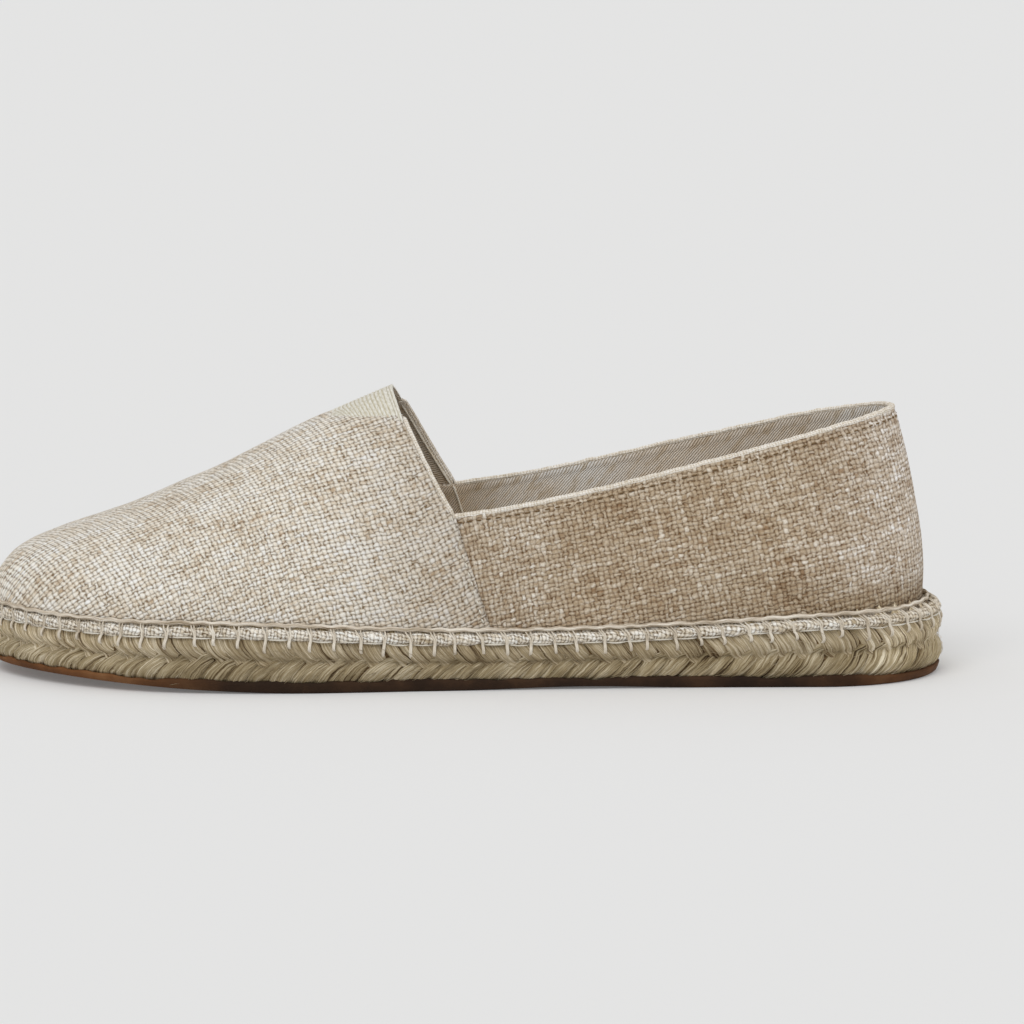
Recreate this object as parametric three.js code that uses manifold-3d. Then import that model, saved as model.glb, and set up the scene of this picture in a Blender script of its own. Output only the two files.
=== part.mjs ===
// A flat slip-on espadrille for the left foot: a linen upper with an elastic gore in its throat, sewn
// over the edge of a plaited jute sole, which stands on a thin rubber outsole and carries an insole.
//
// Millimetres. +X runs to the toe, +Y to the outer side of the foot and +Z up. The floor is z = 0.
// Every piece is a stack of closed rings that go round the last, so they all share one outline.

import * as THREE from "three";
import { mergeVertices } from "three/addons/utils/BufferGeometryUtils.js";
import Module from "manifold-3d";

const wasm = await Module();
wasm.setup();

// ---------------------------------------------------------------- driving dimensions

const LENGTH = 280; // the jute sole, heel to toe
const GAP = 0.3; // between pieces that touch
const WALL = 1.6; // linen and lining together
const RUBBER = 2.5; // the outsole's thickness
const INSOLE = 2;

const HEEL_ROUND = 34; // length of the sole's round heel end
const COLLAR_ROUND = 88; // length of the heel end at the collar, where it is drawn in narrow
const TOE_ROUND = 63; // length of the round toe end
const TOE_DOME = 37; // length over which the vamp rounds down to the toe's edge

const TOE_SPRING = 3.3; // rise of the underside at the toe
const TOE_THINNING = 1.2; // how much thinner the outsole is there
const SPRING_START = 48; // x where both begin
const SPRING_POWER = 1.6;
const ARCH = { lift: 0.7, heel: -72, ball: 4 }; // hollow under the waist, and where it ends

const HEM_DEPTH = 3.6; // how far the turned hem comes down over the jute
const PINCH = 1.2; // how far the stitches draw the wall in at the feather line
const PINCH_TURN = 0.08; // the turn of the section's arch over which that fades
const HEEL_LEAN = 9.7; // how far the heel's back leans forward at the collar
const LEAN_HEIGHT = 57; // height above the feather line where it has leaned that far
const LEAN_POWER = 1.7;
const LEAN_REACH = 90; // length of the quarters that follow the lean

// The last, one row for each cross-section from heel to toe. at is its place as a share of the
// length. half is the sole's half width there, before the ends are rounded, and shift is how far its
// middle lies to the outer side, which gives the left foot's curve. feather is the height where
// upper meets sole, ridge the height of the last's top, and full the power of the section's arch:
// 2 is an ellipse, and more is boxier.
const SECTIONS = [
  { at: 0.0, half: 35.2, shift: 1.2, feather: 21.2, ridge: 128, full: 2.0 },
  { at: 0.12, half: 35.4, shift: 1.3, feather: 20.7, ridge: 126, full: 2.0 },
  { at: 0.25, half: 35.5, shift: 2.0, feather: 18.6, ridge: 119, full: 2.05 },
  { at: 0.4, half: 36.9, shift: 3.5, feather: 17.2, ridge: 107, full: 2.5 },
  { at: 0.54, half: 41.2, shift: 3.1, feather: 17.5, ridge: 89.3, full: 1.8 },
  { at: 0.66, half: 46.6, shift: 1.6, feather: 19.2, ridge: 73.9, full: 1.9 },
  { at: 0.76, half: 48.4, shift: 0.1, feather: 20.1, ridge: 59.5, full: 2.05 },
  { at: 0.86, half: 47.6, shift: -1.5, feather: 20.0, ridge: 47.2, full: 2.2 },
  { at: 0.93, half: 45.6, shift: -2.9, feather: 20.2, ridge: 43.6, full: 2.25 },
  { at: 1.0, half: 43.4, shift: -4.5, feather: 20.8, ridge: 45.2, full: 2.25 },
];

// How far the upper's wall stands inside the sole's edge at the feather line.
const LEDGE = { side: 3.0, heel: 4.4, toe: 1.2 };

// The hem, from its lower edge to just under the feather line. drop is the height below that line,
// and out and into are its two faces' distances inside the sole's edge.
const HEM = [
  { drop: HEM_DEPTH, out: 0.9, into: 2.5 },
  { drop: 2.3, out: 0.5, into: 2.3 },
  { drop: 1.0, out: 1.2, into: 2.9 },
];

// The jute's edge: two rounded rows of plait. up is the share of its height under the hem, and
// inset how far that point is inside the sole's edge.
const JUTE_EDGE = [
  { up: 0.0, inset: 1.8 },
  { up: 0.1, inset: 0.6 },
  { up: 0.26, inset: 0.0 },
  { up: 0.42, inset: 0.5 },
  { up: 0.5, inset: 1.5 },
  { up: 0.58, inset: 0.5 },
  { up: 0.74, inset: 0.0 },
  { up: 0.9, inset: 0.4 },
  { up: 1.0, inset: 1.2 },
];

// The outsole's edge, with up as a share of its thickness.
const RUBBER_EDGE = [
  { up: 0.0, inset: 2.2 },
  { up: 0.3, inset: 1.5 },
  { up: 1.0, inset: 1.4 },
];

// The collar in the side view: the throat's edge from its peak down to its corner, then the topline
// to the back of the heel. Each bend is a handle that its curve is drawn towards.
const COLLAR = {
  peak: { x: 21.2, z: 84.5 },
  throatBend: { x: 9.3, z: 61.0 },
  corner: { x: 3.0, z: 50.8 },
  frontBend: { x: -35, z: 55.3 },
  heelBend: { x: -103, z: 74.4 },
  heel: { x: -125, z: 78.3 },
};

// The elastic gore in the top view, which narrows from the throat's edge towards the toe.
const GORE = { front: 37.6, frontHalf: 7.5, back: 17.4, backHalf: 16.5 };

const STATIONS = 46; // along each side, closer together at the two round ends
const ARCH_ROWS = 14; // from the feather line to the ridge, closer together low down
const ARCH_CROWDING = 1.3;

// ---------------------------------------------------------------- the last

const clamp = (value) => Math.min(1, Math.max(0, value));

// A smooth curve through one column of SECTIONS, as a function of x.
function column(name) {
  const xs = SECTIONS.map((row) => (row.at - 0.5) * LENGTH);
  const values = SECTIONS.map((row) => row[name]);
  const last = xs.length - 1;
  const slopes = values.map((_, i) => {
    const before = Math.max(0, i - 1);
    const after = Math.min(last, i + 1);
    return (values[after] - values[before]) / (xs[after] - xs[before]);
  });
  return (x) => {
    const passed = xs.filter((start) => start <= x).length - 1;
    const i = Math.min(last - 1, Math.max(0, passed));
    const span = xs[i + 1] - xs[i];
    const t = clamp((x - xs[i]) / span);
    const rise = t * t * (3 - 2 * t);
    const start = t * (1 - t) * (1 - t) * span * slopes[i];
    const end = t * t * (t - 1) * span * slopes[i + 1];
    return values[i] + (values[i + 1] - values[i]) * rise + start + end;
  };
}

const half = column("half");
const shift = column("shift");
const feather = column("feather");
const ridge = column("ridge");
const full = column("full");

// How much of the toe's spring is reached at x, and the heights of the outsole's two faces.
function sprung(x) {
  const share = clamp((x - SPRING_START) / (LENGTH / 2 - SPRING_START));
  return Math.sin((Math.PI / 2) * share) ** SPRING_POWER;
}
const waist = (x) => Math.sin(Math.PI * clamp((x - ARCH.heel) / (ARCH.ball - ARCH.heel))) ** 2;
const underside = (x) => TOE_SPRING * sprung(x) + ARCH.lift * waist(x);
const rubberTop = (x) => RUBBER + (TOE_SPRING - TOE_THINNING) * sprung(x);

// A quarter circle's height, as share runs from its foot at 0 to its top at 1.
const quarterRound = (share) => Math.sqrt(1 - (1 - clamp(share)) ** 2);

// Insets from the sole's edge, the same all round or grown from another. The toe isn't pinched.
const even = (inset) => ({ side: inset, heel: inset, toe: inset });
const grown = (inset, by, pinch = 0) => ({
  side: inset.side + by + pinch,
  heel: inset.heel + by + pinch,
  toe: inset.toe + by,
});

// x of station i on a ring that stands inside the sole's edge by inset.
function stationX(i, inset) {
  const heelEnd = -LENGTH / 2 + inset.heel;
  const toeEnd = LENGTH / 2 - inset.toe;
  const share = (1 - Math.cos((Math.PI * i) / STATIONS)) / 2;
  return heelEnd + (toeEnd - heelEnd) * share;
}

// Half width at x of a ring that stands inside the sole's edge by inset.
function halfWidth(x, inset, heelRound = HEEL_ROUND) {
  const fromHeel = (x + LENGTH / 2 - inset.heel) / heelRound;
  const fromToe = (LENGTH / 2 - inset.toe - x) / TOE_ROUND;
  return (half(x) - inset.side) * quarterRound(fromHeel) * quarterRound(fromToe);
}

// One closed ring: station 0 at the heel, up the outer side to the toe and back along the inner one.
// place(i, side) gives the point.
function ring(place) {
  const points = [];
  for (let step = 0; step < 2 * STATIONS; step += 1) {
    const outer = step <= STATIONS;
    points.push(outer ? place(step, 1) : place(2 * STATIONS - step, -1));
  }
  return points;
}

// A ring round the sole, inside its edge by inset, with height(x).
function soleRing(inset, height) {
  return ring((i, side) => {
    const x = stationX(i, inset);
    return [x, shift(x) + side * halfWidth(x, inset), height(x)];
  });
}

// A ring round the upper's wall. turn is 0 at the feather line and a quarter turn at the ridge, and
// depth is how far the ring lies under the outer face.
function wallRing(turn, depth) {
  const pinch = PINCH * Math.exp(-turn / PINCH_TURN);
  const inset = grown(LEDGE, depth, pinch);
  return ring((i, side) => {
    const x = stationX(i, inset);
    const power = 2 / full(x);
    const dome = quarterRound((LENGTH / 2 - inset.toe - x) / TOE_DOME);
    const rise = (ridge(x) - depth - feather(x)) * dome * Math.sin(turn) ** power;
    const height = rise / LEAN_HEIGHT;
    const heelRound = HEEL_ROUND + (COLLAR_ROUND - HEEL_ROUND) * Math.min(1, height);
    const across = halfWidth(x, inset, heelRound) * Math.cos(turn) ** power;
    const follow = clamp(1 - (x + LENGTH / 2 - inset.heel) / LEAN_REACH) ** 2;
    const lean = HEEL_LEAN * height ** LEAN_POWER * follow;
    return [x + lean, shift(x) + side * across, feather(x) + rise];
  });
}

// ---------------------------------------------------------------- solids

// A geometry as a manifold-3d solid, its shared vertices merged and its collapsed faces dropped.
function solidOf(geometry) {
  const bare = new THREE.BufferGeometry();
  bare.setAttribute("position", geometry.getAttribute("position"));
  bare.setIndex(geometry.index);
  const merged = mergeVertices(bare, 1e-3);
  const corners = merged.index.array;
  const kept = [];
  for (let i = 0; i < corners.length; i += 3) {
    const [a, b, c] = corners.slice(i, i + 3);
    if (a !== b && b !== c && c !== a) kept.push(a, b, c);
  }
  const mesh = new wasm.Mesh({
    numProp: 3,
    vertProperties: merged.attributes.position.array,
    triVerts: new Uint32Array(kept),
  });
  return new wasm.Manifold(mesh);
}

// Rings from bottom to top as one closed solid. Each end is closed by strips across the shoe.
function stack(rings) {
  const around = rings[0].length;
  const faces = [];
  const quad = (a, b, c, d) => faces.push(a, b, c, a, c, d);
  for (let r = 0; r + 1 < rings.length; r += 1) {
    for (let i = 0; i < around; i += 1) {
      const next = (i + 1) % around;
      const low = r * around;
      quad(low + next, low + i, low + around + i, low + around + next);
    }
  }
  const top = (rings.length - 1) * around;
  for (let i = 0; i < STATIONS; i += 1) {
    const outer = [i, i + 1];
    const inner = [(around - i) % around, around - i - 1];
    quad(outer[0], outer[1], inner[1], inner[0]);
    quad(top + inner[0], top + inner[1], top + outer[1], top + outer[0]);
  }
  const geometry = new THREE.BufferGeometry();
  geometry.setAttribute("position", new THREE.Float32BufferAttribute(rings.flat(2), 3));
  geometry.setIndex(faces);
  return solidOf(geometry);
}

// A prism across the whole shoe, from an outline drawn in the side view with X and Z.
function acrossShoe(outline) {
  const width = 2 * LENGTH;
  const geometry = new THREE.ExtrudeGeometry(outline, {
    depth: width,
    bevelEnabled: false,
    curveSegments: 16,
  });
  geometry.rotateX(Math.PI / 2);
  geometry.translate(0, width / 2, 0);
  return solidOf(geometry);
}

// A solid as a named, smooth-edged mesh with its own material.
function piece(name, solid, look) {
  const mesh = solid.getMesh();
  const geometry = new THREE.BufferGeometry();
  geometry.setAttribute("position", new THREE.BufferAttribute(mesh.vertProperties, 3));
  geometry.setIndex(new THREE.BufferAttribute(mesh.triVerts, 1));
  geometry.computeVertexNormals();
  const made = new THREE.Mesh(geometry, new THREE.MeshStandardMaterial(look));
  made.name = name;
  return made;
}

// ---------------------------------------------------------------- outsole

// A flat rubber sheet that lifts and thins at the toe and is a little hollow under the waist.
function outsole() {
  const height = (x, up) => underside(x) + (rubberTop(x) - underside(x)) * up;
  return stack(RUBBER_EDGE.map(({ up, inset }) => soleRing(even(inset), (x) => height(x, up))));
}

// ---------------------------------------------------------------- jute sole

// A plait wound on edge. Its top edge is stepped in, to take the hem of the upper.
function juteSole() {
  const base = (x) => rubberTop(x) + GAP;
  const shoulder = (x) => feather(x) - HEM_DEPTH - GAP;
  const rings = JUTE_EDGE.map(({ up, inset }) =>
    soleRing(even(inset), (x) => base(x) + (shoulder(x) - base(x)) * up),
  );
  const step = HEM[0].into + GAP + 0.1;
  rings.push(soleRing(even(step), shoulder));
  rings.push(soleRing(even(step), (x) => feather(x) - INSOLE));
  return stack(rings);
}

// ---------------------------------------------------------------- insole

// A soft sock that lies on the jute inside the upper.
function insole() {
  const fit = grown(LEDGE, WALL + PINCH + GAP);
  const edge = grown(fit, 0.5);
  const low = (x) => feather(x) - INSOLE + GAP;
  const high = (x) => low(x) + INSOLE;
  return stack([
    soleRing(edge, low),
    soleRing(fit, (x) => low(x) + 0.4),
    soleRing(fit, (x) => high(x) - 0.4),
    soleRing(edge, high),
  ]);
}

// ---------------------------------------------------------------- upper and gore

// The last as a closed form, depth under the upper's outer face. Its foot follows the hem's outer
// face, or its inner one, and runs on down where it is the space that the upper holds.
function lastForm(depth) {
  const face = depth > 0 ? "into" : "out";
  const rings = HEM.map((row) => soleRing(even(row[face]), (x) => feather(x) - row.drop));
  if (depth > 0) rings.unshift(soleRing(even(HEM[0].into), (x) => feather(x) - 2 * HEM_DEPTH));
  for (let row = 0; row < ARCH_ROWS; row += 1) {
    const share = (row / (ARCH_ROWS - 0.5)) ** ARCH_CROWDING;
    rings.push(wallRing((share * Math.PI) / 2, depth));
  }
  return stack(rings);
}

// What is cut away for the foot: everything behind the throat's edge and over the topline.
function collarCut() {
  const { peak, throatBend, corner, frontBend, heelBend, heel } = COLLAR;
  const above = 2 * peak.z;
  const steepness = (peak.x - throatBend.x) / (peak.z - throatBend.z);
  const outline = new THREE.Shape();
  outline.moveTo(peak.x + (above - peak.z) * steepness, above);
  outline.lineTo(-LENGTH, above);
  outline.lineTo(-LENGTH, heel.z);
  outline.lineTo(heel.x, heel.z);
  outline.bezierCurveTo(heelBend.x, heelBend.z, frontBend.x, frontBend.z, corner.x, corner.z);
  outline.quadraticCurveTo(throatBend.x, throatBend.z, peak.x, peak.z);
  return acrossShoe(outline);
}

// A prism straight up through the vamp on the gore's outline, wider all round by margin.
function goreCut(margin) {
  const taper = (GORE.backHalf - GORE.frontHalf) / (GORE.front - GORE.back);
  const front = GORE.front + margin;
  const back = COLLAR.corner.x;
  const reach = (x) => GORE.frontHalf + margin + (GORE.front - x) * taper;
  const middle = shift(GORE.back);
  const outline = new THREE.Shape();
  outline.moveTo(front, middle - reach(front));
  outline.lineTo(front, middle + reach(front));
  outline.lineTo(back, middle + reach(back));
  outline.lineTo(back, middle - reach(back));
  const geometry = new THREE.ExtrudeGeometry(outline, { depth: 100, bevelEnabled: false });
  geometry.translate(0, 0, 45);
  return solidOf(geometry);
}

const shell = lastForm(0).subtract(lastForm(WALL)).subtract(collarCut());
const upper = shell.subtract(goreCut(GAP / 2));
const elasticGore = shell.intersect(goreCut(-GAP / 2));

// ---------------------------------------------------------------- the shoe

const shoe = new THREE.Group();
shoe.add(
  piece("outsole", outsole(), { color: 0x6b4630, roughness: 0.75, metalness: 0 }),
  piece("jute_sole", juteSole(), { color: 0xb9ab8a, roughness: 0.95, metalness: 0 }),
  piece("insole", insole(), { color: 0xcbbfa8, roughness: 0.95, metalness: 0 }),
  piece("upper", upper, { color: 0xc4b59f, roughness: 0.95, metalness: 0 }),
  piece("elastic_gore", elasticGore, { color: 0xdcd8c4, roughness: 0.9, metalness: 0 }),
);

export default shoe;
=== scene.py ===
import random
from bisect import bisect_right
from math import acos, asin, cos, dist, exp, hypot, pi, radians, sin, sqrt, tau

import bmesh
import bpy
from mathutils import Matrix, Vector, noise


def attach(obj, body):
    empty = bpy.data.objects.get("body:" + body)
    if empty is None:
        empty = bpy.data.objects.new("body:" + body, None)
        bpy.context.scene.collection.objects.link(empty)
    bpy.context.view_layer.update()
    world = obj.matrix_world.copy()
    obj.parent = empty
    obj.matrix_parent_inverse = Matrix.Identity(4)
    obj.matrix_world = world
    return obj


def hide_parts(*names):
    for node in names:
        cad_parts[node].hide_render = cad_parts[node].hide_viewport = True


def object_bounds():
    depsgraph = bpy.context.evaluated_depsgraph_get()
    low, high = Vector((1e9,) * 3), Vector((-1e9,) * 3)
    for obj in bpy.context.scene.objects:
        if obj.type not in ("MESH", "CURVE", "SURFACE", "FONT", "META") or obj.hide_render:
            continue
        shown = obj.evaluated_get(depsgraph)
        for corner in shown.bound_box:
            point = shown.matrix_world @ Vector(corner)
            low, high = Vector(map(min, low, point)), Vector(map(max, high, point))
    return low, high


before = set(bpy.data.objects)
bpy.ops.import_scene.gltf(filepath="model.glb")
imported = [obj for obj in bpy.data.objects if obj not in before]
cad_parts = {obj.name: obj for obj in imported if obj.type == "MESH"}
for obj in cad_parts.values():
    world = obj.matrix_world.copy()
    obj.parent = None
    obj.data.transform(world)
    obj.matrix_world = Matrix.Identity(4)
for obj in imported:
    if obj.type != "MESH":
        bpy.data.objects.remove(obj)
cad_low, cad_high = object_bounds()

# ---------------------------------------- camera
# It stands four metres off the shoe's outer side and looks a little down on it. The lens is long, so
# the shoe's near and far edges are drawn at nearly the same scale.
MM = 0.001
VIEW_HEIGHT = radians(8.75)
VIEW_DISTANCE = 4.0
VIEW_WIDTH = 0.3005  # what the frame takes in across, at the shoe
AIM_SHIFT = Vector((-14.0, 0.0, 4.0)) * MM  # from the middle of the part's box
SENSOR = 36.0

camera_data = bpy.data.cameras.new("camera")
camera_data.sensor_width = SENSOR
camera_data.lens = SENSOR * VIEW_DISTANCE / VIEW_WIDTH
camera_data.clip_end = 50.0
camera = bpy.data.objects.new("camera", camera_data)
bpy.context.scene.collection.objects.link(camera)
aim = (cad_low + cad_high) / 2 + AIM_SHIFT
away = Vector((0.0, cos(VIEW_HEIGHT), sin(VIEW_HEIGHT)))
camera.location = aim + away * VIEW_DISTANCE
camera.rotation_euler = (pi / 2 - VIEW_HEIGHT, 0.0, pi)
bpy.context.scene.camera = camera
bpy.context.scene.view_settings.view_transform = "Standard"

# ---------------------------------------- floor and light
# A pale matt studio floor that glows faintly, under an even white sky. A broad soft lamp stands high
# over the shoe's outer side, a little towards its toe, and a weaker one stands behind its heel.
WHITE = (1.0, 1.0, 1.0, 1.0)
FLOOR_HALF = 6.0
FLOOR_GLOW = 0.123
SKY_STRENGTH = 0.60
LAMPS = (  # name, strength, spread in degrees, and the direction that it shines from
    ("key", 0.97, 38.0, (0.28, 0.76, 1.10)),
    ("fill", 0.29, 60.0, (-1.0, 0.30, 0.75)),
)


class Wire:
    """An output of a shader node. Arithmetic with wires and numbers adds Math nodes."""

    def __init__(self, socket):
        self.socket = socket

    def __add__(self, other):
        return calc("ADD", self, other)

    def __sub__(self, other):
        return calc("SUBTRACT", self, other)

    def __mul__(self, other):
        return calc("MULTIPLY", self, other)

    def __truediv__(self, other):
        return calc("DIVIDE", self, other)


def connect(made, values):
    """Links each wire among values to the node's input of that name, and sets the others."""
    for name, value in values.items():
        if isinstance(value, Wire):
            made.id_data.links.new(value.socket, made.inputs[name])
        else:
            made.inputs[name].default_value = value


def new_finish(name):
    """A new material and its principled shader."""
    finish = bpy.data.materials.new(name)
    finish.use_nodes = True
    return finish, finish.node_tree.nodes["Principled BSDF"]


def new_object(name, bm, finishes, outwards=True):
    """A mesh object made from bm, with its seams and poles merged, its faces turned outwards if
    asked, smooth shading and its materials."""
    bmesh.ops.remove_doubles(bm, verts=bm.verts, dist=2e-6)
    if outwards:
        bmesh.ops.recalc_face_normals(bm, faces=bm.faces)
    mesh = bpy.data.meshes.new(name)
    bm.to_mesh(mesh)
    bm.free()
    mesh.polygons.foreach_set("use_smooth", [True] * len(mesh.polygons))
    for finish in finishes:
        mesh.materials.append(finish)
    made = bpy.data.objects.new(name, mesh)
    bpy.context.scene.collection.objects.link(made)
    return made


floor_finish, shader = new_finish("studio_floor")
connect(shader, {
    "Base Color": (0.722, 0.722, 0.719, 1.0),
    "Roughness": 1.0,
    "Specular IOR Level": 0.0,
    "Emission Color": (1.0, 1.0, 0.995, 1.0),
    "Emission Strength": FLOOR_GLOW,
})
bm = bmesh.new()
bmesh.ops.create_grid(bm, x_segments=2, y_segments=2, size=FLOOR_HALF)
floor = new_object("floor", bm, [floor_finish], outwards=False)

world = bpy.data.worlds.new("studio")
world.use_nodes = True
sky = world.node_tree.nodes["Background"]
connect(sky, {"Color": WHITE, "Strength": SKY_STRENGTH})
bpy.context.scene.world = world

for name, energy, spread, come_from in LAMPS:
    lamp_data = bpy.data.lights.new(name, "SUN")
    lamp_data.energy = energy
    lamp_data.angle = radians(spread)
    lamp = bpy.data.objects.new(name, lamp_data)
    lamp.rotation_euler = Vector(come_from).to_track_quat("Z", "Y").to_euler()
    bpy.context.scene.collection.objects.link(lamp)

# ---------------------------------------- rubber outsole
# A thin brown crepe rubber sheet, vulcanised on under the jute. It has crept up the jute's lower
# edge in an uneven lip, and its underside has fine ribs across inside a plain border.
LENGTH = 280.0
RUBBER = 2.5
HEEL_ROUND, TOE_ROUND = 34.0, 63.0  # lengths of the sole's two round ends
TOE_SPRING, TOE_THINNING, SPRING_START, SPRING_POWER = 3.3, 1.2, 48.0, 1.6
ARCH_LIFT, ARCH_HEEL, ARCH_BALL = 0.7, -72.0, 4.0
# The last from heel to toe: at is the share of the length, half the sole's half width, shift its
# middle's distance to the outer side, feather the height where upper meets sole, ridge the height
# of the last's top, and full the power of the arch over it.
LAST = {
    "at": (0.0, 0.12, 0.25, 0.4, 0.54, 0.66, 0.76, 0.86, 0.93, 1.0),
    "half": (35.2, 35.4, 35.5, 36.9, 41.2, 46.6, 48.4, 47.6, 45.6, 43.4),
    "shift": (1.2, 1.3, 2.0, 3.5, 3.1, 1.6, 0.1, -1.5, -2.9, -4.5),
    "feather": (21.2, 20.7, 18.6, 17.2, 17.5, 19.2, 20.1, 20.0, 20.2, 20.8),
    "ridge": (128.0, 126.0, 119.0, 107.0, 89.3, 73.9, 59.5, 47.2, 43.6, 45.2),
    "full": (2.0, 2.0, 2.05, 2.5, 1.8, 1.9, 2.05, 2.2, 2.25, 2.25),
}


def clamp(value):
    return max(0.0, min(1.0, value))


def mix(low, high, share):
    return low + (high - low) * share


def side_of(angle):
    """1 on the sole's outer side, which is the first half turn from the heel, and -1 on the inner."""
    return 1 if angle <= pi else -1


def row_at(rows, v):
    """The entry of a table of rows at a share v of the way through it."""
    return rows[round(v * (len(rows) - 1))]


def last_column(name):
    """A smooth curve through one column of the last, as a function of x in millimetres."""
    xs = [(at - 0.5) * LENGTH for at in LAST["at"]]
    values = LAST[name]
    end = len(xs) - 1
    pairs = [(max(0, i - 1), min(end, i + 1)) for i in range(len(xs))]
    slopes = [(values[b] - values[a]) / (xs[b] - xs[a]) for a, b in pairs]

    def at(x):
        i = min(end - 1, max(0, bisect_right(xs, x) - 1))
        span = xs[i + 1] - xs[i]
        t = clamp((x - xs[i]) / span)
        blend = t * t * (3 - 2 * t)
        lead = t * (1 - t) * (1 - t) * span * slopes[i]
        tail = t * t * (t - 1) * span * slopes[i + 1]
        return mix(values[i], values[i + 1], blend) + lead + tail

    return at


half, shift, feather, ridge, full = map(last_column, ("half", "shift", "feather", "ridge", "full"))


def sprung(x):
    share = clamp((x - SPRING_START) / (LENGTH / 2 - SPRING_START))
    return sin(pi / 2 * share) ** SPRING_POWER


def underside(x):
    waist = sin(pi * clamp((x - ARCH_HEEL) / (ARCH_BALL - ARCH_HEEL))) ** 2
    return TOE_SPRING * sprung(x) + ARCH_LIFT * waist


def rubber_top(x):
    return RUBBER + (TOE_SPRING - TOE_THINNING) * sprung(x)


def quarter_round(share):
    """A quarter circle's height, as share runs from its foot to its top."""
    return sqrt(1 - (1 - clamp(share)) ** 2)


def rim_x(angle, heel_in, toe_in):
    """x on a ring round the sole: angle is 0 at the heel and half a turn at the toe."""
    heel_end, toe_end = -LENGTH / 2 + heel_in, LENGTH / 2 - toe_in
    return heel_end + (toe_end - heel_end) * (1 - cos(angle)) / 2


def half_width(x, side_in, heel_in, toe_in, heel_round=HEEL_ROUND):
    from_heel = (x + LENGTH / 2 - heel_in) / heel_round
    from_toe = (LENGTH / 2 - toe_in - x) / TOE_ROUND
    return (half(x) - side_in) * quarter_round(from_heel) * quarter_round(from_toe)


def rim_at(angle, inset):
    """x and y of the sole's edge, inside it by inset."""
    angle = angle % tau
    x = rim_x(angle, inset, inset)
    return x, shift(x) + side_of(angle) * half_width(x, inset, inset, inset)


def lay_grid(bm, columns, rows, place, cloth):
    """Adds a grid to bm, moved to place(u, v) in millimetres, with cloth(u, v) as its UV map."""
    uv = bm.loops.layers.uv.verify()
    made = bmesh.ops.create_grid(bm, x_segments=columns, y_segments=rows, size=0.5)["verts"]
    shares = {vert: (vert.co.x + 0.5, vert.co.y + 0.5) for vert in made}
    flat = {vert: cloth(*share) for vert, share in shares.items()}
    for face in {face for vert in made for face in vert.link_faces}:
        for loop in face.loops:
            loop[uv].uv = flat[loop.vert]
    for vert, share in shares.items():
        vert.co = Vector(place(*share)) * MM


def node(kind, values, output=0, **settings):
    """A new node beside the wires among values. Returns one of its outputs."""
    tree = next(value.socket.id_data for value in values.values() if isinstance(value, Wire))
    made = tree.nodes.new("ShaderNode" + kind)
    for name, value in settings.items():
        setattr(made, name, value)
    connect(made, values)
    return Wire(made.outputs[output])


def calc(operation, *values):
    """A Math node's result."""
    return node("Math", dict(enumerate(values)), operation=operation)


def cloudy(where, scale, detail=2.0, roughness=0.5, output="Fac"):
    """A Noise Texture's value, from 0 to 1 round a half."""
    values = {"Vector": where, "Scale": scale, "Detail": detail, "Roughness": roughness}
    return node("TexNoise", values, output)


def mapped(where, scale=(1, 1, 1), turn=0.0):
    """where, turned about its z and scaled, through a Mapping node."""
    return node("Mapping", {"Vector": where, "Rotation": (0.0, 0.0, turn), "Scale": scale})


def blended(kind, amount, first, second):
    """Two colours mixed."""
    return node("MixRGB", {0: amount, 1: first, 2: second}, blend_type=kind)


def tone(red, green, blue):
    """A colour given as on a screen, 0 to 255, as the linear colour that a shader takes."""
    return tuple((((c / 255) + 0.055) / 1.055) ** 2.4 for c in (red, green, blue)) + (1.0,)


def ramp(value, stops):
    """A colour ramp. A stop is a position and a colour, as three screen tones or four parts."""
    made = node("ValToRGB", {"Fac": value})
    elements = made.socket.node.color_ramp.elements
    while len(elements) < len(stops):
        elements.new(0.5)
    for element, (position, *colour) in zip(elements, stops):
        element.position = position
        element.color = tone(*colour) if len(colour) == 3 else colour
    return made


def in_millimetres(tree):
    """Object coordinates, as millimetres."""
    where = Wire(tree.nodes.new("ShaderNodeTexCoord").outputs["Object"])
    return mapped(where, (1 / MM, 1 / MM, 1 / MM))


def along_axis(tree, axis, start, end):
    """0 at start to 1 at end along one of the object's axes, in millimetres."""
    place = node("SeparateXYZ", {0: in_millimetres(tree)}, axis)
    values = {"Value": place, "From Min": start, "From Max": end}
    return node("MapRange", values, interpolation_type="SMOOTHSTEP")


def coated(shader, colour, height, deep, roughness, specular=0.5, sheen=0.0):
    """Gives the shader a colour, its gloss and sheen, and a bump by height, deep in metres."""
    connect(shader, {
        "Base Color": colour,
        "Roughness": roughness,
        "Specular IOR Level": specular,
        "Sheen Weight": sheen,
        "Normal": node("Bump", {"Height": height, "Distance": deep}),
    })


rubber, shader = new_finish("crepe_rubber")
spot = in_millimetres(shader.id_data)
patch = cloudy(spot, 0.06, 4.0, 0.6)
# The rubber's dark middle is partly its own brown and partly painted shade under the jute. Its
# lighter toe and heel are painted light, where the sole's ends turn to the light.
dark_rubber_and_shade = ramp(patch, [(0.36, 40, 26, 15), (0.52, 54, 36, 22), (0.68, 72, 50, 32)])
painted_lit_rubber = ramp(patch, [(0.36, 96, 60, 31), (0.52, 120, 78, 43), (0.68, 140, 99, 63)])
toe_light_mask = along_axis(shader.id_data, "X", 60.0, 118.0)
heel_light_mask = along_axis(shader.id_data, "X", -92.0, -134.0)
colour = blended("MIX", toe_light_mask + heel_light_mask * 0.52, dark_rubber_and_shade, painted_lit_rubber)
coated(shader, colour, cloudy(spot, 1.6, 5.0, 0.65), 0.00025, 0.75, 0.2)

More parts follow.
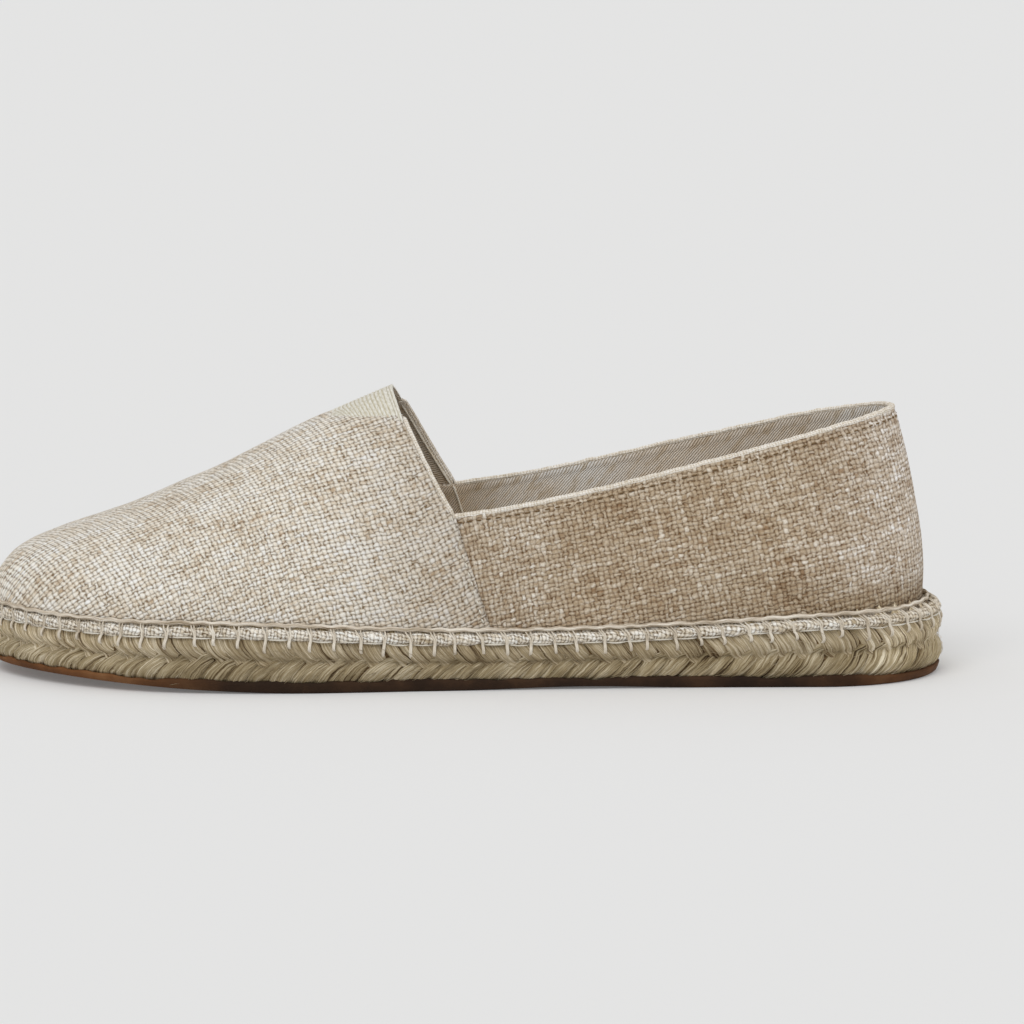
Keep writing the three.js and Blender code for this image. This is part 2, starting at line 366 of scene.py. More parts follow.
RIM_COLUMNS = 960
LIP_INSETS = ((0.0, 2.0), (0.2, 1.2), (0.6, 0.7), (0.9, 0.45), (1.0, 0.8))  # share up, inset
LIP_HEIGHT, LIP_WEAR = 0.95, 1.1  # LIP_WEAR is how much of the lip is gone at the heel
RIB_PITCH, RIB_DEPTH, BORDER = 3.6, 0.45, 0.84
FILL_ROWS = 18
HEEL_CENTRE, TOE_CENTRE = -104.0, 80.0


def lip(angle):
    """How far the rubber's uneven upper edge stands over its sheet."""
    x, y = rim_at(angle, 0.0)
    slow = noise.noise(Vector((x, y, 0.0)) / 17.0)
    quick = noise.noise(Vector((x, y, 40.0)) / 4.0)
    worn_away = LIP_WEAR * clamp((-118.0 - x) / 16.0)
    return max(0.2, LIP_HEIGHT + 1.15 * slow + 0.55 * quick - worn_away)


def towards_middle(point, share):
    """point drawn in to the sole's middle line until share of the way is left."""
    x, y = point
    foot = max(HEEL_CENTRE, min(TOE_CENTRE, x))
    middle = shift(foot)
    return mix(foot, x, share), mix(middle, y, share)


rubber_rows = [("under", row / FILL_ROWS) for row in range(FILL_ROWS + 1)]
rubber_rows += [("edge", entry) for entry in LIP_INSETS]
rubber_rows += [("over", share) for share in (0.97, 0.6, 0.0)]


def rubber_place(u, v):
    angle = tau * u
    kind, value = row_at(rubber_rows, v)
    if kind == "edge":
        up, inset = value
        x, y = rim_at(angle, inset)
        return x, y, underside(x) + (rubber_top(x) + lip(angle) - underside(x)) * up
    x, y = towards_middle(rim_at(angle, LIP_INSETS[0 if kind == "under" else -1][1]), value)
    if kind == "over":
        return x, y, rubber_top(x) + 0.1
    ribbed = clamp((BORDER - value) / 0.05)
    groove = 0.5 - 0.5 * cos(tau * x / RIB_PITCH)
    return x, y, underside(x) + RIB_DEPTH * ribbed * groove


bm = bmesh.new()
lay_grid(bm, RIM_COLUMNS, len(rubber_rows) - 1, rubber_place, lambda u, v: (u, v))
outsole = new_object("rubber_outsole", bm, [rubber])
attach(outsole, "root")
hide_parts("outsole")

# ---------------------------------------- jute sole
# Jute plaits wound on edge and sewn through into a slab. Its side shows two rows of the plaits'
# strands, slanted opposite ways, each a flat leaf of loose fibres with gaps of painted shade between
# them.
GAP = 0.3
HEM_DEPTH = 3.6
MIDDLE = 0.535  # share of the jute's height where the two rows meet
JUTE_EDGE = ((-0.1, 2.4), (0.0, 1.8), (0.1, 0.6), (0.26, 0.0), (0.42, 0.5), (MIDDLE, 1.6))
JUTE_EDGE += ((0.62, 0.5), (0.76, 0.0), (0.9, 0.4), (1.0, 1.2), (1.2, 2.6), (1.4, 3.6))


def between(pairs, at):
    """A straight-line curve through (position, value) pairs."""
    places = [pair[0] for pair in pairs]
    i = min(len(pairs) - 2, max(0, bisect_right(places, at) - 1))
    (a, low), (b, high) = pairs[i], pairs[i + 1]
    return mix(low, high, clamp((at - a) / (b - a)))


def running_lengths(points):
    """How far along a path each of its points is."""
    lengths = [0.0]
    for before, after in zip(points, points[1:]):
        lengths.append(lengths[-1] + dist(before, after))
    return lengths


RIM_STEPS = 2400
rim_marks = [rim_at(tau * i / RIM_STEPS, 0.0) for i in range(RIM_STEPS + 1)]
rim_lengths = running_lengths(rim_marks)
GIRTH = rim_lengths[-1]  # once round the sole


def rim_angle(along):
    """The angle round the sole at a length along its edge, from the back of the heel."""
    along = along % GIRTH
    i = min(RIM_STEPS - 1, bisect_right(rim_lengths, along) - 1)
    part = (along - rim_lengths[i]) / (rim_lengths[i + 1] - rim_lengths[i])
    return tau * (i + part) / RIM_STEPS


def jute_height(x, up):
    return mix(rubber_top(x) + GAP, feather(x) - HEM_DEPTH - GAP, up)


def jute_point(along, up, inset):
    x, y = rim_at(rim_angle(along), inset)
    return x, y, max(jute_height(x, up), underside(x) + 0.6)


def cloth_map(shader):
    """The piece's own UV map, which is in millimetres."""
    return Wire(shader.id_data.nodes.new("ShaderNodeUVMap").outputs["UV"])


def soiled(colour, soil):
    """colour, multiplied by each tint where all its (axis, start, end) fades reach. The tints are
    stains, and painted light and shade.
    """
    for fades, tint_colour in soil:
        amount = 1.0
        for fade in fades:
            amount = along_axis(colour.socket.id_data, *fade) * amount
        colour = blended("MULTIPLY", amount, colour, (*tint_colour, 1.0))
    return colour


def fibrous(name, stops, gap_tone, soil=()):
    """Jute or thread, with fibres along u and across v of the UV map. stops colour the fibres
    from dark to light, the gap tone is painted shade in the gaps between them, and the stains and
    painted light tint parts of it."""
    finish, shader = new_finish(name)
    flat = cloth_map(shader)
    waver = blended("MULTIPLY", 1.0, cloudy(flat, 0.35), (0.0, 0.9, 0.0, 1.0))
    bent = blended("ADD", 1.0, flat, waver)
    fibres = cloudy(mapped(bent, (0.09, 2.7, 1.0)), 1.0, 5.0, 0.72)
    strands = cloudy(mapped(bent, (0.054, 1.1, 1.0)), 1.0)
    patches = cloudy(in_millimetres(shader.id_data), 0.07, 3.0)
    mixed = fibres * 0.75 - 0.125 + strands * 0.3 + patches * 0.2
    # Painted shade: the gap tone darkens the gaps between the strands.
    painted_strand_gap_shade = ramp(strands, [(0.30, *gap_tone), (0.40, *WHITE)])
    colour = soiled(blended("MULTIPLY", 0.8, ramp(mixed, stops), painted_strand_gap_shade), soil)
    coated(shader, colour, fibres + strands, 0.0004, 0.85, 0.25)
    return finish


# Painted light: the jute is painted lighter towards the toe and the heel, where the sole's ends catch
# the light.
painted_light_ends = [
    ([("X", 78.0, 112.0)], (1.25, 1.27, 1.31)),
    ([("X", -106.0, -132.0)], (1.50, 1.55, 1.66)),
]
# Lit and shaded copies of one jute: the upper row's copy is painted lighter against the hem's shade
# over it, and the lower row's copy is painted darker.
jute_painted_lit = fibrous(
    "jute_painted_lit",
    [(0.37, 104, 82, 54), (0.46, 161, 144, 112), (0.53, 186, 170, 140), (0.62, 226, 214, 190)],
    (112, 86, 56),
    soil=painted_light_ends + [([("X", -60.0, -30.0), ("X", 100.0, 70.0)], (0.86, 0.845, 0.815))],
)
jute = fibrous(
    "jute_fibre",
    [(0.37, 88, 68, 42), (0.46, 142, 126, 94), (0.53, 167, 151, 120), (0.62, 208, 196, 170)],
    (112, 86, 56),
    soil=painted_light_ends,
)
# Painted shade: the core behind the strands is a dark copy of the jute, which shows as shade in the
# gaps between them.
jute_core_painted_shade = fibrous(
    "jute_inside",
    [(0.34, 62, 45, 26), (0.50, 98, 76, 48), (0.66, 128, 104, 70)],
    (110, 90, 66),
)

core_rows = [("fill", 0.0, -0.02), ("fill", 0.9, -0.02)]
core_rows += [("edge", inset + 1.25, up) for up, inset in JUTE_EDGE if -0.02 < up < 1.3]
core_rows += [("fill", 0.93, 1.3), ("fill", 0.0, 1.3)]


def core_place(u, v):
    kind, value, up = row_at(core_rows, v)
    angle = tau * u
    if kind == "edge":
        x, y = rim_at(angle, value)
        return x, y, jute_height(x, up)
    x, y = towards_middle(rim_at(angle, 3.0), value)
    return x, y, feather(x) - 2.3 if up > 1 else jute_height(x, up)


bm = bmesh.new()
lay_grid(bm, 480, len(core_rows) - 1, core_place, lambda u, v: (u * GIRTH, v * 24.0))
core = new_object("jute_core", bm, [jute_core_painted_shade])
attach(core, "root")
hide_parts("jute_sole")

STRAND_PITCH = 6.7
STRANDS = round(GIRTH / STRAND_PITCH)
STRAND_COLUMNS, STRAND_ROWS = 16, 20


def add_strand(bm, dice, number, start_up, end_up, run, half_wide, steep, taper):
    """One leaf of fibres. It starts at start_up, runs back by run and ends at end_up, both as
    shares of the jute's height."""
    start = (number + 0.5) * GIRTH / STRANDS + dice.uniform(-0.6, 0.6)
    run *= dice.uniform(0.86, 1.14)
    half_wide *= dice.uniform(0.84, 1.12)
    start_up += dice.uniform(-0.03, 0.03)
    end_up += dice.uniform(-0.035, 0.035)
    tilt = dice.uniform(-0.15, 0.55)
    swell = dice.uniform(-0.35, 0.25)
    ridges = dice.uniform(1.8, 3.6)
    phase = dice.uniform(0.0, 6.3)
    rise = jute_height(0.0, end_up) - jute_height(0.0, start_up)
    tall = jute_height(0.0, 1.0) - jute_height(0.0, 0.0)
    mark = number * 31.7

    def place(u, v):
        across = 2 * v - 1
        climb = rise * (steep * pi / 2 * cos(u * pi / 2) + 1 - steep)
        offset = across * half_wide * (1.0 - taper * u**2.5) / hypot(run, climb)
        along = start - run * u - offset * climb
        up = mix(start_up, end_up, mix(u, sin(u * pi / 2), steep))
        up -= offset * run / tall
        crown = max(0.0, 1 - across * across) ** 0.42
        fold = cos(across * ridges * pi + phase + 0.8 * u) * 0.13 * crown
        fold += 0.30 * crown * noise.noise(Vector((across * 3.4, u * 0.9, mark)))
        inset = between(JUTE_EDGE, up) + 1.15 * (1 - crown) + 0.9 * u**6
        return jute_point(along, up, inset - fold - swell * crown - tilt * across * crown)

    def cloth(u, v):
        return mark + u * abs(run) * 1.3, number * 7.9 + (2 * v - 1) * half_wide

    lay_grid(bm, STRAND_COLUMNS, STRAND_ROWS, place, cloth)


for name, seed, finish, shape in (
    ("jute_upper_row", 11, jute_painted_lit, (1.24, MIDDLE - 0.05, 7.0, 3.30, 0.50, 0.30)),
    ("jute_lower_row", 12, jute, (-0.22, MIDDLE + 0.04, 10.6, 2.80, 0.80, 0.50)),
):
    dice = random.Random(seed)
    bm = bmesh.new()
    for number in range(STRANDS):
        add_strand(bm, dice, number, *shape)
    row = new_object(name, bm, [finish], outwards=False)
    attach(row, "root")


def add_cord(bm, path, radius, sides, closed=False, wide=1.0):
    """Adds a round cord along path, in millimetres, with radius(share) at each point of it."""
    last = len(path) - 1
    lengths = running_lengths(path)

    def place(u, v):
        i = round(u * last)
        if closed:
            along = path[(i + 1) % last] - path[(i - 1) % last]
        else:
            along = path[min(last, i + 1)] - path[max(0, i - 1)]
        outward = Vector((path[i].x * 0.15, path[i].y, 0.0))
        flat = along.cross(outward).normalized()
        proud = flat.cross(along).normalized()
        turn = tau * v
        size = radius(u)
        return path[i] + proud * (cos(turn) * size) + flat * (sin(turn) * size * wide)

    girth = tau * radius(0.5)
    lay_grid(bm, last, sides, place, lambda u, v: (lengths[round(u * last)], v * girth))


def pointed(size, sharp):
    """A radius that falls to nothing at both ends of a cord."""
    return lambda u: size * min(1.0, sharp * u, sharp * (1 - u))


# Loose hairs stand out from the jute, most of them along the slant of its strands.
HAIRS, HAIR_POINTS = 620, 6
dice = random.Random(13)
bm = bmesh.new()
for _ in range(HAIRS):
    along = dice.uniform(0.0, GIRTH)
    up = dice.uniform(-0.05, 0.98)
    length = dice.uniform(2.0, 8.0)
    slant = (1 if up > MIDDLE else -1) * dice.uniform(0.2, 1.3)
    proud = dice.uniform(0.1, 0.9)
    bow = dice.uniform(-0.9, 0.9)
    path = []
    for step in range(HAIR_POINTS):
        t = step / (HAIR_POINTS - 1)
        lifted = up + slant * length * (t - 0.5) * 0.055 + bow * t * (1 - t) * 0.12
        out = proud * sin(pi * t) + 0.15
        lie = between(JUTE_EDGE, clamp(lifted)) - out
        path.append(Vector(jute_point(along + length * (t - 0.5), lifted, lie)))
    add_cord(bm, path, pointed(dice.uniform(0.05, 0.09), 3.0), sides=3)
hairs = new_object("jute_hairs", bm, [jute_painted_lit])
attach(hairs, "root")

# ---------------------------------------- insole sock
# A thin cotton sock, cut to the sole and glued down on the jute inside the upper. It dips a little
# under the heel and the ball of the foot.
LEDGE_SIDE, LEDGE_HEEL, LEDGE_TOE = 3.0, 4.4, 1.2
SOCK_IN = 2.6
SOCK_ROWS = ((0.0, 0.3), (0.3, 0.3), (0.6, 0.3), (0.8, 0.3), (0.93, 0.3), (1.0, 0.15))
SOCK_ROWS += ((1.0, -0.2), (1.0, -1.4), (0.9, -1.7), (0.0, -1.7))  # share out, height
SOCK_DIPS = ((-100.0, 34.0), (52.0, 46.0))  # x and reach


def sock_place(u, v):
    share, over = row_at(SOCK_ROWS, v)
    angle = tau * u
    sides = [ledge + SOCK_IN for ledge in (LEDGE_SIDE, LEDGE_HEEL, LEDGE_TOE)]
    x = rim_x(angle, *sides[1:])
    x, y = towards_middle((x, shift(x) + side_of(angle) * half_width(x, *sides)), share)
    dip = 0.0
    if over > 0:
        for middle, reach in SOCK_DIPS:
            dip += 0.45 * exp(-(((x - middle) / reach) ** 2)) * (1 - share)
    return x, y, feather(x) + over - dip


def woven(flat, pitch, wander):
    """A plain weave over flat, in millimetres: its height and its threads' tone."""
    drift = cloudy(flat, 0.26, 4.0, 0.62, "Color")
    pushed = blended("ADD", 1.0, flat, blended("MULTIPLY", 1.0, drift, (wander, wander, 0.0, 1.0)))
    x, y = (node("SeparateXYZ", {0: pushed}, axis) for axis in "XY")
    across, up = x / pitch[0], y / pitch[1]
    column, row = calc("FLOOR", across), calc("FLOOR", up)

    def thread(inside, other, number, length, sign, salt):
        """One set of threads: their height, and their tone along their length."""
        spot = node("CombineXYZ", {0: number * 13.73 + salt, 1: length * 0.55})
        fat = cloudy(spot, 1.0, 1.0) * 2.0 - 0.03
        ratio = (inside - number - 0.5) * 2.0 / fat
        dome = calc("MAXIMUM", calc("SUBTRACT", 1.0, ratio * ratio), 0.0)
        lift = calc("COSINE", (other + number - 0.5) * pi) * (0.45 * sign) + 0.55
        slow = node("CombineXYZ", {0: number * 5.31 + salt * 3, 1: length * 0.085})
        return calc("POWER", dome, 0.85) * lift, cloudy(slow, 1.0, 3.0, 0.6)

    warp, warp_shade = thread(across, up, column, y, 1.0, 3.7)
    weft, weft_shade = thread(up, across, row, x, -1.0, 71.3)
    over = calc("GREATER_THAN", weft, warp)
    return calc("MAXIMUM", warp, weft), warp_shade + (weft_shade - warp_shade) * over


def cloth_finish(name, pitch, stops, gap_shade_tone, turn=0.0, wander=1.4, depth=0.0005, patchy=0.5, soil=()):
    """A woven cloth. stops colour its threads from dark to light, and the gap tone is painted shade
    in its gaps and at its threads' edges. wander is how far the threads stray in millimetres, and
    patchy the share of its broad patches."""
    finish, shader = new_finish(name)
    turned = mapped(cloth_map(shader), turn=turn)
    height, shade = woven(turned, pitch, wander)
    patches = cloudy(mapped(turned, (0.045, 0.10, 1.0)), 1.0, 3.0, 0.35)
    streaks = cloudy(mapped(turned, (0.07, 0.75, 1.0)), 1.0)
    mottle = cloudy(mapped(turned, (0.42, 0.60, 1.0)), 1.0, 2.0, 0.7)
    speckle = cloudy(turned, 1.3, 2.0, 0.8)
    mixed = shade * (1.0 - patchy) + (patches + streaks) * (patchy / 2)
    mixed = mixed + (mottle * 0.38 - 0.19) + (speckle * 0.26 - 0.13)
    # Painted shade: the colour darkens with the weave's height, down to the gap tone in the gaps and
    # at the threads' edges.
    middle = tuple((1.0 + part) / 2 for part in gap_shade_tone)
    gap = ramp(height, [(0.12, *gap_shade_tone), (0.40, *middle), (0.80, *WHITE)])
    colour = soiled(blended("MULTIPLY", 1.0, ramp(mixed, stops), gap), soil)
    coated(shader, colour, cloudy(turned, 3.5) * 0.25 + height, depth, 0.9, 0.2, 0.12)
    return finish


sock_cloth = cloth_finish(
    "cotton_sock",
    (0.55, 0.55),
    [(0.36, 176, 160, 136), (0.52, 198, 185, 164), (0.66, 214, 204, 186)],
    tone(176, 164, 146),
    turn=radians(45),
    wander=0.5,
    depth=0.0001,
)
bm = bmesh.new()
lay_grid(bm, 360, len(SOCK_ROWS) - 1, sock_place, lambda u, v: sock_place(u, v)[:2])
sock = new_object("sock_insole", bm, [sock_cloth])
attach(sock, "root")
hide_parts("insole")

# ---------------------------------------- quarter
# One band of coarse linen round the heel, lined with a fine twill. Its two front ends go in under
# the vamp, its foot goes under the hem, and its upper edge is turned over and sewn down.
WALL = 1.6
PINCH, PINCH_TURN = 1.2, 0.08
COLLAR_ROUND, TOE_DOME = 88.0, 37.0
HEEL_LEAN, LEAN_HEIGHT, LEAN_POWER, LEAN_REACH = 9.7, 57.0, 1.7, 90.0
CORNER = (3.0, 50.8)  # x and z
FRONT_BEND, HEEL_BEND, HEEL_TOP = (-35.0, 55.3), (-103.0, 74.4), (-125.0, 78.3)
SEAM_TOP, SEAM_FOOT = (2.6, 50.8), (-7.5, 19.0)
# Soft folds left by wear and by packing: x and z of both ends, side, half width and depth. A
# negative depth stands proud.
FOLDS = (
    ((-116, 27.5), (-84, 24.5), 1, 3.6, 0.55),
    ((-96, 33.0), (-62, 29.0), 1, 4.5, 0.30),
    ((-74, 40.0), (-40, 33.5), 1, 5.0, 0.22),
    ((30.0, 72.0), (17.0, 60.0), 1, 3.2, -0.35),
    ((34.0, 66.0), (22.0, 56.5), 1, 2.6, 0.30),
    ((14.0, 52.0), (2.0, 44.0), 1, 3.0, 0.25),
    ((-112, 29.0), (-80, 25.0), -1, 4.0, 0.50),
    ((-70, 39.0), (-36, 31.0), -1, 5.0, 0.30),
    ((32.0, 70.0), (16.0, 58.0), -1, 3.4, 0.35),
)


def curve_table(points, steps=120):
    """A Bezier curve through the side view, as a sorted list of (x, z)."""
    made = []
    for step in range(steps + 1):
        t = step / steps
        rest = list(points)
        while len(rest) > 1:
            rest = [(mix(a[0], b[0], t), mix(a[1], b[1], t)) for a, b in zip(rest, rest[1:])]
        made.append(rest[0])
    return sorted(made)


topline = curve_table((HEEL_TOP, HEEL_BEND, FRONT_BEND, CORNER))


def fold_depth(x, z, side):
    depth = 0.0
    for (ax, az), (bx, bz), which, reach, deep in FOLDS:
        if which == side:
            long = hypot(bx - ax, bz - az)
            t = clamp(((x - ax) * (bx - ax) + (z - az) * (bz - az)) / long**2)
            off = hypot(x - ax - t * (bx - ax), z - az - t * (bz - az))
            depth += deep * exp(-((off / reach) ** 2)) * (0.3 + 0.7 * sin(pi * t))
    return depth


def skin(angle, turn, side, depth=0.0):
    """A point of the upper's outer face. angle is 0 at the heel and half a turn at the toe, and
    turn is 0 at the feather line and a quarter turn at the ridge."""
    pinch = PINCH * exp(-turn / PINCH_TURN)
    sides = LEDGE_SIDE + depth + pinch, LEDGE_HEEL + depth + pinch, LEDGE_TOE + depth
    x = rim_x(angle, sides[1], sides[2])
    power = 2 / full(x)
    low = feather(x)
    dome = quarter_round((LENGTH / 2 - sides[2] - x) / TOE_DOME)
    rise = (ridge(x) - depth - low) * dome * sin(turn) ** power
    height = max(0.0, rise / LEAN_HEIGHT)
    heel_round = HEEL_ROUND + (COLLAR_ROUND - HEEL_ROUND) * min(1.0, height)
    across = half_width(x, *sides, heel_round) * max(0.0, cos(turn)) ** power
    follow = clamp(1 - (x + LENGTH / 2 - sides[1]) / LEAN_REACH) ** 2
    lean = HEEL_LEAN * height**LEAN_POWER * follow
    return Vector((x + lean, shift(x) + side * across, low + rise))


def folded_skin(angle, turn, side, depth):
    plain = skin(angle, turn, side, depth)
    uneven = 0.35 * noise.noise(plain / 21.0) + 0.12 * noise.noise(plain / 7.0)
    return skin(angle, turn, side, depth + uneven + fold_depth(plain.x, plain.z, side))


def angle_at(x):
    """The angle of a ring round the upper at x, away from the heel's lean."""
    heel_end, toe_end = -LENGTH / 2 + LEDGE_HEEL, LENGTH / 2 - LEDGE_TOE
    return acos(1 - 2 * clamp((x - heel_end) / (toe_end - heel_end)))


def halved(low, high, times, is_low):
    """low and high after halving the range between them round the place where is_low ends."""
    for _ in range(times):
        middle = (low + high) / 2
        if is_low(middle):
            low = middle
        else:
            high = middle
    return low, high


def top_turn(angle):
    """The turn at which the wall reaches the topline."""

    def is_under(turn):
        point = skin(angle, turn, 1)
        return point.z < between(topline, point.x)

    return halved(0.0, pi / 2, 26, is_under)[0]


def seam_x(z):
    t = (SEAM_TOP[1] - z) / (SEAM_TOP[1] - SEAM_FOOT[1])
    return mix(SEAM_TOP[0], SEAM_FOOT[0], t)


QUARTER_HALF, QUARTER_ROWS = 150, 60  # columns on each side of the heel, and rows
UNDERLAP = 6.0
quarter_ends = angle_at(CORNER[0] + UNDERLAP)


def quarter_angle(step):
    return quarter_ends * step / QUARTER_HALF


# Where the wall reaches the topline, and its length from the heel, at every column.
top_turns = [top_turn(quarter_angle(step)) for step in range(QUARTER_HALF + 1)]
quarter_lengths = running_lengths(
    [skin(quarter_angle(step), 0.3, 1) for step in range(QUARTER_HALF + 1)])


def quarter_step(u):
    """Which column a share is: how many steps from the heel, and on which side."""
    signed = round((2 * u - 1) * QUARTER_HALF)
    return abs(signed), 1 if signed >= 0 else -1


def quarter_place(u, v):
    step, side = quarter_step(u)
    angle = quarter_angle(step)
    turn = top_turns[step] * v**1.12
    point = skin(angle, turn, side)
    tuck = 0.75 * clamp((point.x - seam_x(point.z) + 3.0) / 4.0)
    below = (top_turns[step] - turn) / top_turns[step] * (point.z / max(v, 0.05) - 17.0)
    gathered = 0.22 * exp(-(((below - 2.0) / 0.9) ** 2))
    return folded_skin(angle, turn, side, tuck + gathered)


QUARTER_SLANT = radians(13)
HEEL_SWAY = 22.0  # how far round from the heel the slant grows


def quarter_cloth(u, v):
    step, side = quarter_step(u)
    angle = quarter_angle(step)
    z = skin(angle, top_turns[step] * v**1.12, side).z
    length = quarter_lengths[step]
    far = hypot(length, HEEL_SWAY)
    sway = side * length / far
    above = z - (LEAN_HEIGHT - 9.0)
    flat, slant = cos(QUARTER_SLANT), sin(QUARTER_SLANT)
    return side * length * flat - sway * above * slant, z * flat + (far - HEEL_SWAY) * slant


quarter_linen = cloth_finish(
    "linen_quarter",
    (1.50, 1.38),
    [(0.32, 154, 125, 94), (0.45, 187, 166, 138), (0.54, 207, 190, 166), (0.68, 240, 231, 216)],
    tone(156, 133, 106),
    wander=2.3,
    patchy=0.42,
    soil=[
        # Painted shade: darker low at the back, where the wall curves in under and gets less light.
        ([("Z", 44.0, 20.0), ("X", -44.0, -76.0)], (0.88, 0.87, 0.85)),
        ([("X", -36.0, -6.0)], (1.09, 1.14, 1.22)),
        # Painted light: lighter and bluer round the back of the heel, where light wraps round it.
        ([("X", -88.0, -130.0)], (1.19, 1.28, 1.46)),
        ([("X", -114.0, -132.0), ("Z", 26.0, 36.0)], (1.08, 1.09, 1.11)),
        # A brown stain low on the heel.
        ([("Z", 31.0, 23.0), ("X", -86.0, -118.0)], (0.71, 0.64, 0.53)),
    ],
)

TWILL_PITCH, TWILL_TURN = 0.64, radians(-127)
twill_lining, shader = new_finish("twill_lining")
turned = mapped(cloth_map(shader), turn=TWILL_TURN)
across = node("SeparateXYZ", {0: turned}, "X")
phase = across * (tau / TWILL_PITCH) + cloudy(turned, 0.5) * 4.0
cord_line = calc("SINE", phase) * 0.5 + 0.5
mottle = cloudy(mapped(turned, (0.5, 0.14, 1.0)), 1.0, 3.0)
pale = ramp(mottle, [
    (0.34, 232, 223, 208), (0.46, 252, 249, 244), (0.58, 255, 255, 254)])
# Painted shade in the twill's grooves.
painted_groove_shade = ramp(cord_line, [(0.02, 192, 184, 170), (0.44, *WHITE)])
# Painted shade: the lining is browner at the throat's corner, low at the front and part way back,
# where the walls shade it.
colour = soiled(blended("MULTIPLY", 1.0, pale, painted_groove_shade), [
    ([("X", -14.0, 2.0)], (0.80, 0.73, 0.64)),
    ([("X", -30.0, -58.0), ("X", -122.0, -96.0)], (0.92, 0.84, 0.75)),
    ([("Z", 57.0, 49.0), ("X", -44.0, -24.0)], (0.98, 0.92, 0.85)),
])
coated(shader, colour, cord_line, 0.00018, 0.9, 0.2)


def cloth_sheet(name, columns, rows, place, cloth, finishes, thick, middle):
    """An open cloth on a grid. Its faces are turned away from middle, and it has its wall on the
    inner side, with the last of its finishes there."""
    bm = bmesh.new()
    lay_grid(bm, columns, rows, place, cloth)
    made = new_object(name, bm, finishes, outwards=False)
    facing = sum((face.center - Vector(middle) * MM).dot(face.normal) for face in made.data.polygons)
    if facing < 0:
        made.data.flip_normals()
    wall = made.modifiers.new("wall", "SOLIDIFY")
    wall.thickness = thick * MM
    wall.offset = -1.0
    wall.material_offset = len(finishes) - 1
    return made


quarter = cloth_sheet(
    "linen_quarter", 2 * QUARTER_HALF, QUARTER_ROWS, quarter_place, quarter_cloth,
    [quarter_linen, twill_lining], WALL, (-40.0, 0.0, 40.0))
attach(quarter, "root")

# ---------------------------------------- vamp
# The front of the upper, one piece of paler linen drawn over the toe. Its rear edges lap over the
# quarter's ends on both sides, and a notch in its middle takes the elastic.
GORE_FRONT, GORE_BACK = 37.6, 17.4
GORE_SIDE = ((GORE_BACK, 15.6), (28.0, 12.4), (31.5, 10.4), (34.0, 8.0), (GORE_FRONT, 4.0))
gore_middle = shift(GORE_BACK)
THROAT_BEND, PEAK = (9.3, 61.0), (21.2, 84.5)  # x and z
throat = [(z, x) for x, z in curve_table((CORNER, THROAT_BEND, PEAK))]
VAMP_COLUMNS, VAMP_ROWS = 156, 120
VAMP_WALL = 1.2


def vamp_turn(u):
    """Turn and side for a share across the vamp, from the outer feather line over to the inner."""
    signed = 1 - 2 * u
    share = 1 - abs(signed)
    return pi / 2 * share**1.15, 1 if signed >= 0 else -1


def gore_reach(x):
    return between(GORE_SIDE, x)


def cut_away(point):
    """True where the vamp is cut away: behind its rear edge or in the notch."""
    if point.z < CORNER[1]:
        return point.x < seam_x(point.z)
    if point.x < between(throat, point.z):
        return True
    return point.x < GORE_FRONT and abs(point.y - gore_middle) < gore_reach(point.x)


def rear_angle(turn, side):
    """The angle of the vamp's rear edge at a turn."""

    def is_cut(x):
        return cut_away(skin(angle_at(x), turn, side))

    x = GORE_FRONT + 4.0
    while not is_cut(x):
        x -= 0.5
    return angle_at(halved(x, x + 0.5, 12, is_cut)[1])


vamp_turns = [vamp_turn(column / VAMP_COLUMNS) for column in range(VAMP_COLUMNS + 1)]
vamp_edges = [rear_angle(turn, side) for turn, side in vamp_turns]


def vamp_spot(u, v):
    turn, side = vamp_turn(u)
    edge = vamp_edges[round(u * VAMP_COLUMNS)]
    return edge + (pi - edge) * v, turn, side


def vamp_place(u, v):
    angle, turn, side = vamp_spot(u, v)
    beside = clamp((skin(angle, turn, side).z - CORNER[1]) / 14.0)
    near_edge = exp(-v * 14.0) * (1 - beside)
    rolled = 0.35 * exp(-v * 160.0)
    return folded_skin(angle, turn, side, -0.45 * near_edge + rolled)


# How the cloth lies flat: along the ridge, and round from it.
FLAT_STEPS, FLAT_TURNS = 90, 40
flat_angles = [0.35 * pi + 0.65 * pi * i / FLAT_STEPS for i in range(FLAT_STEPS + 1)]
flat_turns = [pi / 2 * (1 - j / FLAT_TURNS) for j in range(FLAT_TURNS + 1)]
flat_ridge = running_lengths([skin(angle, pi / 2, 1) for angle in flat_angles])
flat_round = [running_lengths([skin(angle, turn, 1) for turn in flat_turns]) for angle in flat_angles]


def vamp_cloth(u, v):
    angle, turn, side = vamp_spot(u, v)
    place = clamp((angle / pi - 0.35) / 0.65) * FLAT_STEPS
    i = min(FLAT_STEPS - 1, int(place))
    part = place - i
    along = mix(flat_ridge[i], flat_ridge[i + 1], part)
    down = (1 - turn / (pi / 2)) * FLAT_TURNS
    j = min(FLAT_TURNS - 1, int(down))
    near, far = (mix(row[j], row[j + 1], down - j) for row in flat_round[i:i + 2])
    around = mix(near, far, part)
    x = rim_x(angle, LEDGE_HEEL, LEDGE_TOE)
    slant = radians(22 + 10 * clamp((x - 50) / 80))
    return along + around * sin(slant), side * around * cos(slant)


vamp_linen = cloth_finish(
    "linen_vamp",
    (1.58, 1.30),
    [(0.33, 200, 177, 149), (0.44, 239, 228, 210), (0.54, 252, 247, 237), (0.66, 255, 254, 251)],
    tone(146, 128, 104),
    wander=1.9,
    soil=[([("X", 52.0, -8.0)], (0.77, 0.74, 0.71))],
)

